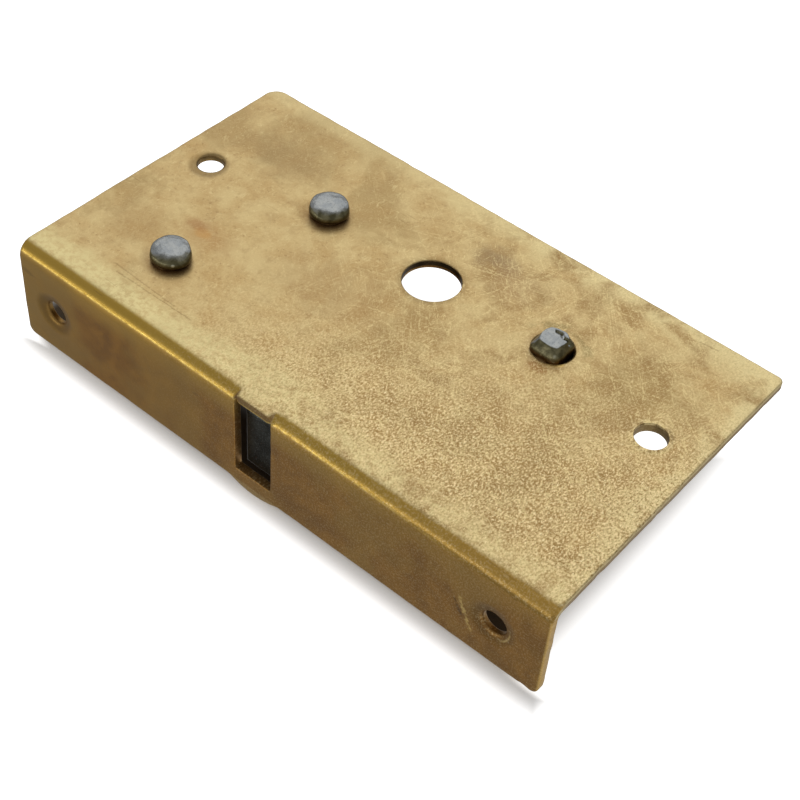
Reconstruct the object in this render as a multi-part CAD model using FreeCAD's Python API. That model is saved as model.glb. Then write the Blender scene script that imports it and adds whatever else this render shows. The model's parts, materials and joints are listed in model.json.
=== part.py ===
"""Half-mortise lever lock on an L-bent brass plate, in millimetres.

The key axis is the Z axis, and z = 0 is the outer face of the plate. The plate lies level above
its works, and the flange hangs down along its front edge, so the bolt shoots towards -Y.
The bolt is drawn back, and the levers stand at the height that lets it slide.
"""
import FreeCAD
import Part

import math
import os

Vector = FreeCAD.Vector
UP = Vector(0, 0, 1)

# Brass plate with its flange
PLATE_LENGTH = 101.6
PLATE_WIDTH = 57.15
SHEET = 1.6
FLANGE_DEPTH = 18.2
BEND_RADIUS = 2.6
BACKSET = 37.7
REAR_LEFT_CORNER = 2.6
REAR_RIGHT_CORNER = 2.0
FLANGE_CORNER = 1.3
KEY_PILOT_RADIUS = 4.75

# Wood screw holes in the plate and in the flange
SCREW_HOLE_RADIUS = 2.5
PLATE_SCREWS_X = (-43.9, 42.7)
PLATE_SCREWS_Y = -3.7
FLANGE_HOLE_RADIUS = 2.0
COUNTERSINK_RADIUS = 3.6
COUNTERSINK_DEPTH = 1.1
FLANGE_SCREWS_X = (-43.8, 42.2)
FLANGE_SCREWS_Z = -10.25

# Slot in the flange for the bolt: the sheet over it stayed flat, and the web below it bulges
SLOT_X = -1.6
SLOT_WIDTH = 7.0
SLOT_BOTTOM = -15.7
LIP_SETBACK = 0.2
BULGE_HALF_WIDTH = 4.8
BULGE_DROP = 1.1

# Steel posts riveted through the plate
HEAD_RADIUS = 3.5
HEAD_HEIGHT = 2.3
HEAD_DOME = 0.35
HEAD_EDGE = 0.45
PIVOT_X, PIVOT_Y = -31.8, -24.1
PIVOT_RADIUS = 2.3
ROUND_POST_X, ROUND_POST_Y = -21.5, 0.5
ROUND_POST_RADIUS = 2.6
SQUARE_POST_X, SQUARE_POST_Y = 22.2, 0.6
SQUARE_POST_SIDE = 5.0
SQUARE_TOP_SIDE = 3.5
SQUARE_TAPER_START = 0.6
SQUARE_SEAT_RADIUS = 3.6
SQUARE_SEAT_SUNK = 0.5

# Works under the plate
GAP = 0.1
THROW = 9.0
BOLT_TOP = -SHEET - GAP
BOLT_THICKNESS = 2.4
BOLT_BOTTOM = BOLT_TOP - BOLT_THICKNESS
CAP_TOP = -16.0
CAP_THICKNESS = 1.4
CAP_BOTTOM = CAP_TOP - CAP_THICKNESS
SPACER_WALL = 0.9

# Key: the bit sweeps this circle and reaches the bolt on its -X side
KEY_SHANK_RADIUS = 3.5
KEY_BIT_RADIUS = 12.0
KEY_BIT_WIDTH = 3.0
KEY_CLEARANCE = 0.4

# Bolt
BOLT_HALF_SPAN_LEFT = 26.6
BOLT_HALF_SPAN_RIGHT = 27.4
BOLT_FRONT = -26.5
BOLT_REAR = 17.5
TALON_REACH = 10.5
TALON_DEPTH = 2.2
TALON_MOUTH = 1.0
BOLT_CORNER = 2.0
HEAD_BLOCK_WIDTH = 6.5
HEAD_BLOCK_SETBACK = 2.0
HEAD_BLOCK_LENGTH = 20.2
HEAD_BLOCK_BOTTOM = -15.5
HEAD_BLOCK_EDGE = 0.7
BOLT_RIVET_RADIUS = 1.5
BOLT_RIVETS_Y = (-23.0, -17.6)
BOLT_RIVET_DEPTH = 6.0
STUMP_X, STUMP_Y = -16.0, 14.0
STUMP_RADIUS = 1.5
STUMP_END = -12.2

# Levers: three plates with their own bellies, washers between, a leaf spring in each
LEVER_COUNT = 3
LEVER_THICKNESS = 2.0
LEVER_PLAY = 0.05
WASHER_THICKNESS = 0.4
WASHER_RADIUS = 4.0
FIRST_LEVER_TOP = -4.55
LEVER_BOSS_RADIUS = 5.0
LEVER_BORE_PLAY = 0.05
LEVER_CLEARANCE = 0.4
BELLY_RADII = (9.4, 10.4, 8.9)
LEVER_DROP_DEG = 4.0
GATE_PLAY = 0.2
RETAINER_THICKNESS = 0.8
RETAINER_RADIUS = 4.2
RIVET_END_RADIUS = 2.9
RIVET_END_HEIGHT = 0.6
SPRING_THICKNESS = 0.5
SPRING_HEIGHT = 1.6
SPRING_ROOT = Vector(-26.7, -26.5, 0)
SPRING_TIP_X = -39.0
SPRING_HALF_TURN_DEG = 40.0
SPRING_TAB = 3.1

# Screws of the cap
CAP_SCREW_RADIUS = 1.7
CAP_SCREW_LENGTH = 6.0
CAP_SCREW_HEAD_RADIUS = 3.5
CAP_SCREW_HEAD_HEIGHT = 1.8
DRIVER_SLOT_WIDTH = 0.9
DRIVER_SLOT_DEPTH = 0.8
CAP_HALF_WIDTH = 6.5
CAP_CENTRE_RADIUS = 9.0

FLANGE_FACE = -BACKSET
FLANGE_INSIDE = FLANGE_FACE + SHEET
REAR_EDGE = FLANGE_FACE + PLATE_WIDTH
LEVER_PITCH = LEVER_THICKNESS + WASHER_THICKNESS + 2 * LEVER_PLAY
LEVERS_BOTTOM = FIRST_LEVER_TOP - (LEVER_COUNT - 1) * LEVER_PITCH - LEVER_THICKNESS
PIVOT = Vector(PIVOT_X, PIVOT_Y, 0)
STUMP = Vector(STUMP_X, STUMP_Y, 0)


def box(x_low, x_high, y_low, y_high, z_low, z_high):
    corner = Vector(x_low, y_low, z_low)
    return Part.makeBox(x_high - x_low, y_high - y_low, z_high - z_low, corner)


def disc(x, y, radius, z_low, z_high):
    return Part.makeCylinder(radius, z_high - z_low, Vector(x, y, z_low))


def ring(x, y, outer, inner, z_low, z_high):
    return disc(x, y, outer, z_low, z_high).cut(disc(x, y, inner, z_low, z_high))


def rounded_wire(corners):
    """A closed wire through (point, radius) corners, with an arc at each corner that has a radius."""
    count = len(corners)
    bends = []
    for i, (point, radius) in enumerate(corners):
        back = (corners[i - 1][0] - point).normalize()
        ahead = (corners[(i + 1) % count][0] - point).normalize()
        half = back.getAngle(ahead) / 2
        reach = radius / math.tan(half)
        crown = point + (back + ahead).normalize() * (radius / math.sin(half) - radius)
        bends.append((point + back * reach, crown, point + ahead * reach))
    edges = []
    for i, (start, crown, end) in enumerate(bends):
        if corners[i][1] > 0:
            edges.append(Part.Arc(start, crown, end).toShape())
        edges.append(Part.makeLine(end, bends[(i + 1) % count][0]))
    return Part.Wire(edges)


def plan_prism(corners, z_low, z_high):
    """A prism on a plan outline of (x, y, corner radius)."""
    wire = rounded_wire([(Vector(x, y, z_low), radius) for x, y, radius in corners])
    return Part.Face(wire).extrude(Vector(0, 0, z_high - z_low))


def slot(start, end, radius, z_low, z_high):
    """A round-ended slot between two centres."""
    across = (end - start).normalize().cross(UP) * radius
    sides = (start + across, end + across, end - across, start - across)
    straight = plan_prism([(side.x, side.y, 0) for side in sides], z_low, z_high)
    ends = [disc(centre.x, centre.y, radius, z_low, z_high) for centre in (start, end)]
    return straight.fuse(ends).removeSplitter()


def turned(point, degrees):
    """A point carried round the lever pivot."""
    turn = FreeCAD.Rotation(UP, degrees)
    return PIVOT + turn.multVec(point - PIVOT)


def bent_sheet():
    """The plate and flange in one bend, before anything is cut."""
    low = -FLANGE_DEPTH - 2 * BULGE_DROP
    section = [
        (FLANGE_FACE, 0, BEND_RADIUS),
        (REAR_EDGE, 0, 0),
        (REAR_EDGE, -SHEET, 0),
        (FLANGE_INSIDE, -SHEET, BEND_RADIUS - SHEET),
        (FLANGE_INSIDE, low, 0),
        (FLANGE_FACE, low, 0),
    ]
    left = -PLATE_LENGTH / 2
    wire = rounded_wire([(Vector(left, y, z), radius) for y, z, radius in section])
    return Part.Face(wire).extrude(Vector(PLATE_LENGTH, 0, 0))


def plate_outline():
    """Everything inside the plate's plan, with its rounded rear corners."""
    side = PLATE_LENGTH / 2
    front = FLANGE_FACE - 1
    corners = [
        (-side, front, 0),
        (side, front, 0),
        (side, REAR_EDGE, REAR_RIGHT_CORNER),
        (-side, REAR_EDGE, REAR_LEFT_CORNER),
    ]
    return plan_prism(corners, -FLANGE_DEPTH - 2 * BULGE_DROP, 1)


def flange_outline():
    """Everything inside the flange's front view, with the bulge of the web under the slot."""
    side = PLATE_LENGTH / 2
    front = FLANGE_FACE - 1
    depth = PLATE_WIDTH + 2
    corners = [
        (-side, 1, 0),
        (-side, -FLANGE_DEPTH, FLANGE_CORNER),
        (side, -FLANGE_DEPTH, FLANGE_CORNER),
        (side, 1, 0),
    ]
    wire = rounded_wire([(Vector(x, front, z), radius) for x, z, radius in corners])
    flat = Part.Face(wire).extrude(Vector(0, depth, 0))
    bulge_radius = (BULGE_HALF_WIDTH ** 2 + BULGE_DROP ** 2) / (2 * BULGE_DROP)
    centre = Vector(SLOT_X, front, bulge_radius - FLANGE_DEPTH - BULGE_DROP)
    return flat.fuse(Part.makeCylinder(bulge_radius, depth, centre, Vector(0, 1, 0)))


def flange_screw_hole(x):
    """A countersunk hole through the flange, cut from its outer face."""
    mouth = Vector(x, FLANGE_FACE, FLANGE_SCREWS_Z)
    inwards = Vector(0, 1, 0)
    hole = Part.makeCylinder(FLANGE_HOLE_RADIUS, SHEET, mouth, inwards)
    sink = Part.makeCone(COUNTERSINK_RADIUS, FLANGE_HOLE_RADIUS, COUNTERSINK_DEPTH, mouth, inwards)
    return hole.fuse(sink)


def lock_plate():
    sheet = bent_sheet().common(plate_outline()).common(flange_outline())
    left, right = SLOT_X - SLOT_WIDTH / 2, SLOT_X + SLOT_WIDTH / 2
    front, behind = FLANGE_FACE - 1, FLANGE_FACE + BEND_RADIUS
    bolt_slot = box(left, right, front, behind, SLOT_BOTTOM, 1)
    lip = box(left, right, FLANGE_FACE + LIP_SETBACK, behind, -SHEET, 0)
    sheet = sheet.cut(bolt_slot).fuse(lip).removeSplitter()
    square_mouth = Part.makeCone(
        SQUARE_SEAT_RADIUS, SQUARE_SEAT_RADIUS + SQUARE_SEAT_SUNK, SQUARE_SEAT_SUNK,
        Vector(SQUARE_POST_X, SQUARE_POST_Y, -SQUARE_SEAT_SUNK),
    )
    cuts = [
        disc(0, 0, KEY_PILOT_RADIUS, -SHEET, 0),
        disc(PIVOT_X, PIVOT_Y, PIVOT_RADIUS, -SHEET, 0),
        disc(ROUND_POST_X, ROUND_POST_Y, ROUND_POST_RADIUS, -SHEET, 0),
        disc(SQUARE_POST_X, SQUARE_POST_Y, SQUARE_SEAT_RADIUS, -SHEET, 0),
        square_mouth,
    ]
    cuts += [disc(x, PLATE_SCREWS_Y, SCREW_HOLE_RADIUS, -SHEET, 0) for x in PLATE_SCREWS_X]
    cuts += [flange_screw_hole(x) for x in FLANGE_SCREWS_X]
    return sheet.cut(cuts)


def headed_post(x, y, radius, end):
    """A round post with a domed head on the plate's outer face."""
    outline = [
        (0, end, 0),
        (radius, end, 0),
        (radius, 0, 0),
        (HEAD_RADIUS, 0, 0),
        (HEAD_RADIUS, HEAD_HEIGHT, HEAD_EDGE),
        (0, HEAD_HEIGHT, 0),
    ]
    wire = rounded_wire([(Vector(reach, 0, z), corner) for reach, z, corner in outline])
    post = Part.Face(wire).revolve(Vector(0, 0, 0), UP, 360)
    dome_radius = (HEAD_RADIUS ** 2 + HEAD_DOME ** 2) / (2 * HEAD_DOME)
    dome = Part.makeSphere(dome_radius, Vector(0, 0, HEAD_HEIGHT - dome_radius))
    return post.common(dome).translated(Vector(x, y, 0))


def tapped_end(x, y):
    """The hole in a post's inner end that takes a cap screw."""
    return disc(x, y, CAP_SCREW_RADIUS, CAP_TOP, CAP_TOP + CAP_SCREW_LENGTH)


def round_post():
    post = headed_post(ROUND_POST_X, ROUND_POST_Y, ROUND_POST_RADIUS, CAP_TOP)
    return post.cut(tapped_end(ROUND_POST_X, ROUND_POST_Y))


def square_wire(x, y, side, z):
    half = side / 2
    corners = ((x - half, y - half), (x + half, y - half), (x + half, y + half), (x - half, y + half))
    return rounded_wire([(Vector(across, along, z), 0) for across, along in corners])


def square_post():
    """A square bar with a tapered outer end, on a round seat that fills its hole in the plate."""
    x, y, half = SQUARE_POST_X, SQUARE_POST_Y, SQUARE_POST_SIDE / 2
    bar = box(x - half, x + half, y - half, y + half, CAP_TOP, SQUARE_TAPER_START)
    taper = Part.makeLoft([
        square_wire(x, y, SQUARE_POST_SIDE, SQUARE_TAPER_START),
        square_wire(x, y, SQUARE_TOP_SIDE, HEAD_HEIGHT),
    ], True)
    seat = disc(x, y, SQUARE_SEAT_RADIUS, -SHEET, -SQUARE_SEAT_SUNK)
    return bar.fuse([taper, seat]).cut(tapped_end(x, y)).removeSplitter()


def lever_pivot():
    """The post that the levers turn on, riveted over the retainer."""
    end = LEVERS_BOTTOM - LEVER_PLAY - RETAINER_THICKNESS
    post = headed_post(PIVOT_X, PIVOT_Y, PIVOT_RADIUS, end)
    riveted = Part.makeCone(
        RIVET_END_RADIUS, PIVOT_RADIUS, RIVET_END_HEIGHT, Vector(PIVOT_X, PIVOT_Y, end), -UP
    )
    return post.fuse(riveted)


def pivot_collar():
    """The collar that keeps the first lever clear of the bolt."""
    z_low = FIRST_LEVER_TOP + LEVER_PLAY
    return ring(PIVOT_X, PIVOT_Y, WASHER_RADIUS, PIVOT_RADIUS, z_low, -SHEET)


def lever_top(index):
    return FIRST_LEVER_TOP - index * LEVER_PITCH


def lever_washers():
    """One washer under each lever but the last."""
    washers = []
    for index in range(LEVER_COUNT - 1):
        top = lever_top(index) - LEVER_THICKNESS - LEVER_PLAY
        bottom = top - WASHER_THICKNESS
        washers.append(ring(PIVOT_X, PIVOT_Y, WASHER_RADIUS, PIVOT_RADIUS, bottom, top))
    return Part.makeCompound(washers)


def lever_retainer():
    top = LEVERS_BOTTOM - LEVER_PLAY
    bottom = top - RETAINER_THICKNESS
    return ring(PIVOT_X, PIVOT_Y, RETAINER_RADIUS, PIVOT_RADIUS, bottom, top)


def round_post_spacer():
    """The sleeve on the round post, between the bolt and the cap."""
    outer = ROUND_POST_RADIUS + SPACER_WALL
    top = BOLT_BOTTOM - GAP
    return ring(ROUND_POST_X, ROUND_POST_Y, outer, ROUND_POST_RADIUS, CAP_TOP, top)


def square_post_spacer():
    """The sleeve on the square post, round inside, touching its corners."""
    inner = SQUARE_SEAT_RADIUS
    top = BOLT_BOTTOM - GAP
    return ring(SQUARE_POST_X, SQUARE_POST_Y, inner + SPACER_WALL, inner, CAP_TOP, top)


def cap_plate():
    """The strip across both posts, with the keyhole at its middle."""
    half = CAP_HALF_WIDTH
    left = Vector(ROUND_POST_X, ROUND_POST_Y, 0)
    right = Vector(SQUARE_POST_X, SQUARE_POST_Y, 0)
    strip = slot(left, right, half, CAP_BOTTOM, CAP_TOP)
    strip = strip.fuse(disc(0, 0, CAP_CENTRE_RADIUS, CAP_BOTTOM, CAP_TOP))
    bit = KEY_BIT_RADIUS + KEY_CLEARANCE
    bit_half = (KEY_BIT_WIDTH + KEY_CLEARANCE) / 2
    cuts = [
        disc(0, 0, KEY_SHANK_RADIUS, CAP_BOTTOM, CAP_TOP),
        box(0, bit, -bit_half, bit_half, CAP_BOTTOM, CAP_TOP),
    ]
    cuts += [disc(end.x, end.y, CAP_SCREW_RADIUS, CAP_BOTTOM, CAP_TOP) for end in (left, right)]
    return strip.cut(cuts).removeSplitter()


def cap_screw(x, y):
    shank = disc(x, y, CAP_SCREW_RADIUS, CAP_BOTTOM, CAP_TOP + CAP_SCREW_LENGTH)
    bottom = CAP_BOTTOM - CAP_SCREW_HEAD_HEIGHT
    head = disc(x, y, CAP_SCREW_HEAD_RADIUS, bottom, CAP_BOTTOM)
    reach, half = CAP_SCREW_HEAD_RADIUS + 1, DRIVER_SLOT_WIDTH / 2
    driver = box(x - reach, x + reach, y - half, y + half, bottom, bottom + DRIVER_SLOT_DEPTH)
    return head.fuse(shank).cut(driver)


def cap_screws():
    places = ((ROUND_POST_X, ROUND_POST_Y), (SQUARE_POST_X, SQUARE_POST_Y))
    return Part.makeCompound([cap_screw(x, y) for x, y in places])


def bolt_plate():
    """The flat U of the bolt, open to the rear round the key, slotted on both posts."""
    window = KEY_BIT_RADIUS + KEY_CLEARANCE
    bridge = -window - KEY_CLEARANCE
    outline = [
        (-BOLT_HALF_SPAN_LEFT, BOLT_FRONT, BOLT_CORNER),
        (BOLT_HALF_SPAN_RIGHT, BOLT_FRONT, BOLT_CORNER),
        (BOLT_HALF_SPAN_RIGHT, BOLT_REAR, BOLT_CORNER),
        (window, BOLT_REAR, BOLT_CORNER),
        (window, bridge, BOLT_CORNER),
        (-TALON_REACH, bridge, BOLT_CORNER),
        (-TALON_REACH, BOLT_REAR, BOLT_CORNER),
        (-BOLT_HALF_SPAN_LEFT, BOLT_REAR, BOLT_CORNER),
    ]
    plate = plan_prism(outline, BOLT_BOTTOM, BOLT_TOP)
    chord = 2 * math.sqrt(KEY_BIT_RADIUS ** 2 - TALON_REACH ** 2)
    talon_half = (chord - THROW + KEY_BIT_WIDTH) / 2
    talon_y = THROW / 2
    deep = TALON_REACH + TALON_DEPTH
    half = SQUARE_POST_SIDE / 2 + GAP
    cuts = [
        box(
            -deep, TALON_MOUTH - TALON_REACH, talon_y - talon_half, talon_y + talon_half,
            BOLT_BOTTOM, BOLT_TOP,
        ),
        slot(
            Vector(ROUND_POST_X, ROUND_POST_Y - GAP, 0),
            Vector(ROUND_POST_X, ROUND_POST_Y + THROW + GAP, 0),
            ROUND_POST_RADIUS + GAP, BOLT_BOTTOM, BOLT_TOP,
        ),
        box(
            SQUARE_POST_X - half, SQUARE_POST_X + half,
            SQUARE_POST_Y - half - GAP, SQUARE_POST_Y + THROW + half + GAP,
            BOLT_BOTTOM, BOLT_TOP,
        ),
        disc(STUMP_X, STUMP_Y, STUMP_RADIUS, BOLT_BOTTOM, BOLT_TOP),
    ]
    cuts += [bolt_rivet(y) for y in BOLT_RIVETS_Y]
    return plate.cut(cuts)


def bolt_rivet(y):
    """A rivet with a countersunk head flush in the bolt plate."""
    shank = disc(SLOT_X, y, BOLT_RIVET_RADIUS, BOLT_BOTTOM - BOLT_RIVET_DEPTH, BOLT_TOP)
    sunk = BOLT_RIVET_RADIUS / 2
    head = Part.makeCone(
        BOLT_RIVET_RADIUS, BOLT_RIVET_RADIUS + sunk, sunk, Vector(SLOT_X, y, BOLT_TOP - sunk)
    )
    return shank.fuse(head)


def bolt_rivets():
    return Part.makeCompound([bolt_rivet(y) for y in BOLT_RIVETS_Y])


def bolt_head():
    """The block that shoots through the flange, hung under the bolt plate."""
    half = HEAD_BLOCK_WIDTH / 2
    front = FLANGE_FACE + HEAD_BLOCK_SETBACK
    rear = front + HEAD_BLOCK_LENGTH
    block = box(SLOT_X - half, SLOT_X + half, front, rear, HEAD_BLOCK_BOTTOM, BOLT_BOTTOM)
    edges = [edge for edge in block.Edges if edge.BoundBox.YMax < front + GAP]
    block = block.makeFillet(HEAD_BLOCK_EDGE, edges)
    return block.cut([bolt_rivet(y) for y in BOLT_RIVETS_Y])


def bolt_stump():
    """The pin on the bolt that passes through the gates of the levers."""
    return disc(STUMP_X, STUMP_Y, STUMP_RADIUS, STUMP_END, BOLT_TOP)


def gate(z_low, z_high):
    """The window of a lever: a gate along the throw, with a pocket at each end of it."""
    radius = STUMP_RADIUS + GATE_PLAY
    back = STUMP
    shot = STUMP - Vector(0, THROW, 0)
    window = slot(shot, back, radius, z_low, z_high)
    pockets = [
        slot(place, turned(place, LEVER_DROP_DEG), radius, z_low, z_high)
        for place in (back, shot)
    ]
    return window.fuse(pockets).removeSplitter()


def lever(index):
    """A flat lever: a boss on the pivot, an arm past the round post and a head with the gate."""
    top = lever_top(index)
    bottom = top - LEVER_THICKNESS
    inner = -TALON_REACH - TALON_DEPTH - GATE_PLAY
    outline = [
        (-35.8, -21.0, 0),
        (-27.8, -27.1, 0),
        (-8.0, -7.0, 1.0),
        (-8.0, 3.5, 1.0),
        (inner, 7.0, 2.0),
        (inner, 18.4, 2.0),
        (-23.0, 18.4, 2.0),
        (-23.0, 5.4, 1.0),
        (-19.0, 2.0, 0),
        (-22.6, -4.6, 2.0),
    ]
    plate = plan_prism(outline, bottom, top)
    plate = plate.fuse(disc(PIVOT_X, PIVOT_Y, LEVER_BOSS_RADIUS, bottom, top))
    post = Vector(ROUND_POST_X, ROUND_POST_Y, 0)
    post_room = ROUND_POST_RADIUS + SPACER_WALL + LEVER_CLEARANCE
    cuts = [
        disc(PIVOT_X, PIVOT_Y, PIVOT_RADIUS + LEVER_BORE_PLAY, bottom, top),
        slot(post, turned(post, LEVER_DROP_DEG), post_room, bottom, top),
        disc(0, 0, BELLY_RADII[index], bottom, top),
        gate(bottom, top),
        spring_tab(bottom, top),
    ]
    return plate.cut(cuts).removeSplitter()


def spring_arc():
    """Centre, radius and root and tip angles of the leaf, which meets the flange at its tip."""
    tip = Vector(SPRING_TIP_X, FLANGE_INSIDE + SPRING_THICKNESS / 2 + GAP, 0)
    chord = tip - SPRING_ROOT
    half_turn = math.radians(SPRING_HALF_TURN_DEG)
    radius = chord.Length / 2 / math.sin(half_turn)
    towards_centre = UP.cross(chord).normalize() * -1
    centre = (tip + SPRING_ROOT) * 0.5 + towards_centre * (radius * math.cos(half_turn))
    return centre, radius, tip


def spring_tab(z_low, z_high):
    """The straight end of the leaf, let into a saw cut in the lever."""
    centre, _, _ = spring_arc()
    spoke = (SPRING_ROOT - centre).normalize()
    along = UP.cross(spoke)
    if along.y < 0:
        along = along * -1
    half = spoke * (SPRING_THICKNESS / 2)
    end = SPRING_ROOT + along * SPRING_TAB
    sides = (SPRING_ROOT - half, SPRING_ROOT + half, end + half, end - half)
    return plan_prism([(side.x, side.y, 0) for side in sides], z_low, z_high)


def lever_spring(index):
    """A leaf from the lever to the inside of the flange."""
    centre, radius, tip = spring_arc()
    slack = (LEVER_THICKNESS - SPRING_HEIGHT) / 2
    top = lever_top(index) - slack
    bottom = top - SPRING_HEIGHT
    half = SPRING_THICKNESS / 2
    root_spoke = (SPRING_ROOT - centre).normalize()
    tip_spoke = (tip - centre).normalize()
    middle_spoke = (root_spoke + tip_spoke).normalize()
    spokes = (root_spoke, middle_spoke, tip_spoke)
    lift = Vector(0, 0, bottom)
    outer = [centre + lift + spoke * (radius + half) for spoke in spokes]
    inner = [centre + lift + spoke * (radius - half) for spoke in spokes]
    edges = [
        Part.Arc(*outer).toShape(),
        Part.makeLine(outer[2], inner[2]),
        Part.Arc(*reversed(inner)).toShape(),
        Part.makeLine(inner[0], outer[0]),
    ]
    leaf = Part.Face(Part.Wire(edges)).extrude(Vector(0, 0, SPRING_HEIGHT))
    return leaf.fuse(spring_tab(bottom, top)).removeSplitter()


def parts():
    pieces = {
        "lock_plate": lock_plate(),
        "round_post": round_post(),
        "square_post": square_post(),
        "lever_pivot": lever_pivot(),
        "pivot_collar": pivot_collar(),
        "lever_washers": lever_washers(),
        "lever_retainer": lever_retainer(),
        "round_post_spacer": round_post_spacer(),
        "square_post_spacer": square_post_spacer(),
        "cap_plate": cap_plate(),
        "cap_screws": cap_screws(),
        "bolt_plate": bolt_plate(),
        "bolt_head": bolt_head(),
        "bolt_rivets": bolt_rivets(),
        "bolt_stump": bolt_stump(),
    }
    for index in range(LEVER_COUNT):
        pieces[f"lever_{index + 1}"] = lever(index)
        pieces[f"lever_spring_{index + 1}"] = lever_spring(index)
    return pieces


os.makedirs("parts", exist_ok=True)
for name, shape in parts().items():
    shape.exportStep(f"parts/{name}.step")
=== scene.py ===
"""Looks of the half-mortise lock: a bent brass plate on its lever works, in metres in the row frame.

Lengths in this file are in millimetres until a mesh is made. The z axis is the key's axis, the
plate's outer face is z = 0, and the flange hangs down along the front edge, towards -Y.
"""

import json
import math

import bmesh
import bpy
import numpy as np
from mathutils import Matrix, Vector, geometry, noise


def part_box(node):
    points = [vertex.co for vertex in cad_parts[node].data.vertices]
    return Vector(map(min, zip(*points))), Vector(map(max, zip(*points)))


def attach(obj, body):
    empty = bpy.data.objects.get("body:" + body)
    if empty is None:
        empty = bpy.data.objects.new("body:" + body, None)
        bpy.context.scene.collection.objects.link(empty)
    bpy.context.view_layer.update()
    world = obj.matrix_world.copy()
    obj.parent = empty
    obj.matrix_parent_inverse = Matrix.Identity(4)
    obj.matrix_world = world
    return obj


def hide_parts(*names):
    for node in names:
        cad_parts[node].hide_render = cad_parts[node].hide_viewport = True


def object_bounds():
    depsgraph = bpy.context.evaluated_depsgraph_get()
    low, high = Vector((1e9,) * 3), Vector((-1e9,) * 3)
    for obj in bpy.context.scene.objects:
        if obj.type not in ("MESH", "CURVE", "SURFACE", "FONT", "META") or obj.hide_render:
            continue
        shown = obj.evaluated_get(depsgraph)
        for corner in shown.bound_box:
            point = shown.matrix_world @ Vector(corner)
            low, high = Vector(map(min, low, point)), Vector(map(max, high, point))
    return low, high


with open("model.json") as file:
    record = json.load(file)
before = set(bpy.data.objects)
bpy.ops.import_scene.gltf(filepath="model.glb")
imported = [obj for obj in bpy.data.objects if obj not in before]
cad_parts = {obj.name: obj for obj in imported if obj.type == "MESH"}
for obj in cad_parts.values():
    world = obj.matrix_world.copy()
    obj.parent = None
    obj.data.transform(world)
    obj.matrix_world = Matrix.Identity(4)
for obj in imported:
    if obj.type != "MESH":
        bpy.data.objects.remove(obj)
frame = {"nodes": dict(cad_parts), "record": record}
cad_low, cad_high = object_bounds()

MM = 0.001
BODY = "lock_body"


# ---------------- places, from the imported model

def box_mm(node):
    low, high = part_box(node)
    return np.array(low) / MM, np.array(high) / MM


def middle(node):
    low, high = box_mm(node)
    return (low + high) / 2


MOUNTS = {mount["name"]: mount for mount in frame["record"]["mounts"]}


def mount_mm(name):
    return np.array(MOUNTS[name]["pos_m"]) / MM


def screw_places(name):
    """The two x positions of a screw pattern."""
    half = MOUNTS[name]["dims"]["spacing_x_mm"] / 2
    x = mount_mm(name)[0]
    return x - half, x + half


PLATE_LOW, PLATE_HIGH = box_mm("lock_plate")
FLANGE_FACE = PLATE_LOW[1]
REAR_EDGE = PLATE_HIGH[1]
SIDE = PLATE_HIGH[0]
SHEET = 1.6
BEND_RADIUS = 2.6
BEND_Y = FLANGE_FACE + BEND_RADIUS
FLANGE_BOTTOM = -18.2
KEY_HOLE = mount_mm("key_pilot_hole")
KEY_RADIUS = MOUNTS["key_pilot_hole"]["dims"]["r_mm"]
PLATE_SCREWS_Y = mount_mm("plate_screws")[1]
PLATE_SCREW_RADIUS = MOUNTS["plate_screws"]["dims"]["hole_r_mm"]
FLANGE_SCREWS_Z = mount_mm("flange_screws")[2]
FLANGE_SCREW_RADIUS = MOUNTS["flange_screws"]["dims"]["hole_r_mm"]
ROUND_POST = middle("round_post")
PIVOT = middle("lever_pivot")
SQUARE_POST = middle("square_post")
POST_END, HEAD_TOP = (corner[2] for corner in box_mm("round_post"))
PIVOT_END = box_mm("lever_pivot")[0][2]
POST_SHANK = 2.6
PIVOT_SHANK = 2.3
HEAD_RADIUS = 3.5
SCREW_HOLE_RADIUS = 1.7
SCREW_HOLE_DEPTH = 6
SLOT_X = middle("bolt_head")[0]
SLOT_HALF = 3.5
SLOT_BOTTOM = -15.7
LIP_LENGTH = 2.4
BULGE_HALF_WIDTH = 4.8
BULGE_DROP = FLANGE_BOTTOM - PLATE_LOW[2]


# ---------------- node graphs

class Nodes:
    """A node tree. A socket is fed with another socket or with a plain value."""

    def __init__(self, tree):
        self.tree = tree

    def add(self, kind, feeds=None, **settings):
        node = self.tree.nodes.new("ShaderNode" + kind)
        for key, value in settings.items():
            setattr(node, key, value)
        self.feed(node, feeds or {})
        return node

    def feed(self, node, feeds):
        for key, value in feeds.items():
            if isinstance(value, bpy.types.NodeSocket):
                self.tree.links.new(value, node.inputs[key])
            else:
                node.inputs[key].default_value = value


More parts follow.
